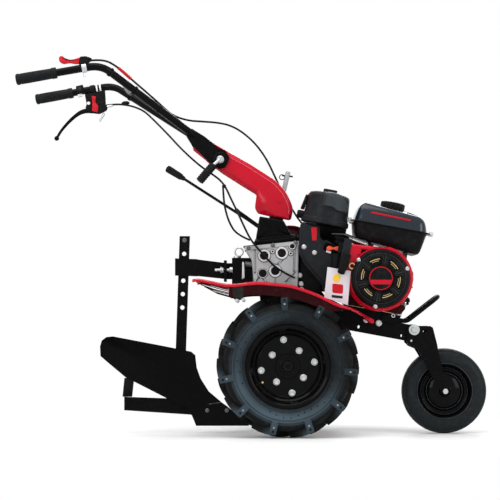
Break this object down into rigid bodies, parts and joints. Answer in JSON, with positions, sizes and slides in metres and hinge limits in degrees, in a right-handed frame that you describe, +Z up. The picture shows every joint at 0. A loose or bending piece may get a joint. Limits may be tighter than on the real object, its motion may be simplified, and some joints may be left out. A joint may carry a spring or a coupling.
{
  "type": "two-wheel walking tractor with plough",
  "caption": "Walk-behind two-wheel tractor with petrol engine, chevron-lug drive wheels, front support wheel, tilting handlebar and a rear single-furrow plough.",
  "frame": {"origin": "on the floor, midway between the handle grips' ends and the front tyre, in the machine's middle plane", "axes": "+X forward, +Y to the machine's left, +Z up"},
  "size_m": [1.6138, 0.618, 1.2752],
  "materials": {
    "black_paint": "satin",
    "gloss_black": "gloss",
    "red_paint": "gloss",
    "black_casting": "satin",
    "tank_black": "gloss",
    "heat_black": "matte",
    "cast_aluminium": "cast",
    "engine_grey": "cast",
    "zinc_plate": "satin",
    "tyre_rubber": "matte",
    "grip_rubber": "matte",
    "cable_sheath": "satin",
    "black_plastic": "matte",
    "charcoal_plastic": "matte",
    "red_plastic": "gloss",
    "white_card": "matte"
  },
  "bodies": {
    "chassis": {"gearbox_case": "cast_aluminium", "gearbox_leg": "cast_aluminium", "shift_cover": "black_casting", "column_stub": "black_paint", "gear_lever": "black_paint", "frame_rails": "black_paint", "frame_mount": "black_paint", "engine_bearer": "black_paint", "nose_spacer": "zinc_plate", "lifting_loop": "black_paint", "engine_block": "engine_grey", "cylinder_head": "engine_grey", "engine_shroud": "red_paint", "recoil_starter": "black_plastic", "starter_handle": "black_plastic", "starter_strap": "charcoal_plastic", "hang_tag": "white_card", "fuel_tank": "tank_black", "fuel_cap": "black_plastic", "air_cleaner": "charcoal_plastic", "air_duct": "charcoal_plastic", "carburettor": "engine_grey", "muffler": "heat_black", "belt_guard": "red_paint", "fender_right": "red_paint", "fender_left": "red_paint", "hitch_bracket": "black_paint", "hitch_pin": "zinc_plate", "drawbar": "black_paint", "hitch_bolts": "zinc_plate", "plough_stem": "black_paint", "stem_clamp": "black_paint", "mouldboard": "gloss_black", "plough_share": "gloss_black", "landside": "black_paint", "plough_brace": "black_paint"},
    "drive_wheels": {"axle_shaft": "zinc_plate", "wheel_rim_right": "gloss_black", "wheel_rim_left": "gloss_black", "tyre_right": "tyre_rubber", "tyre_left": "tyre_rubber"},
    "support_fork": {"front_fork": "black_paint", "fork_bolts": "zinc_plate"},
    "support_wheel": {"front_rim": "gloss_black", "front_tyre": "tyre_rubber"},
    "column": {"column_arm": "red_paint", "column_hub": "black_paint", "lock_lever": "zinc_plate"},
    "handlebar": {"handle_yoke": "black_paint", "clamp_bolt": "zinc_plate", "handle_tubes": "black_paint", "handle_grips": "grip_rubber", "throttle_mount": "black_plastic", "throttle_lever": "red_plastic", "clutch_perch": "black_plastic", "clutch_lever": "black_paint", "stop_switch": "black_plastic", "throttle_cable": "cable_sheath", "clutch_cable": "cable_sheath", "stop_wire": "cable_sheath"}
  },
  "joints": [
    {"name": "drive_wheels_spin", "type": "hinge", "parent": "chassis", "child": "drive_wheels", "pos_m": [0.107, 0, 0.24], "axis": [0, 1, 0], "continuous": true},
    {"name": "support_fork_fold", "type": "hinge", "parent": "chassis", "child": "support_fork", "pos_m": [0.549, 0, 0.36096], "axis": [0, -1, 0], "range_deg": [0, 40]},
    {"name": "support_wheel_spin", "type": "hinge", "parent": "support_fork", "child": "support_wheel", "pos_m": [0.6565, 0, 0.148], "axis": [0, 1, 0], "continuous": true},
    {"name": "column_swivel", "type": "hinge", "parent": "chassis", "child": "column", "pos_m": [0.071, 0, 0.745], "axis": [0.165, 0, 0.9863], "range_deg": [-25, 25], "deforming": ["throttle_cable", "clutch_cable", "stop_wire"]},
    {"name": "handlebar_tilt", "type": "hinge", "parent": "column", "child": "handlebar", "pos_m": [-0.1235, 0, 0.953], "axis": [0, 1, 0], "range_deg": [-20, 20]}
  ]
}
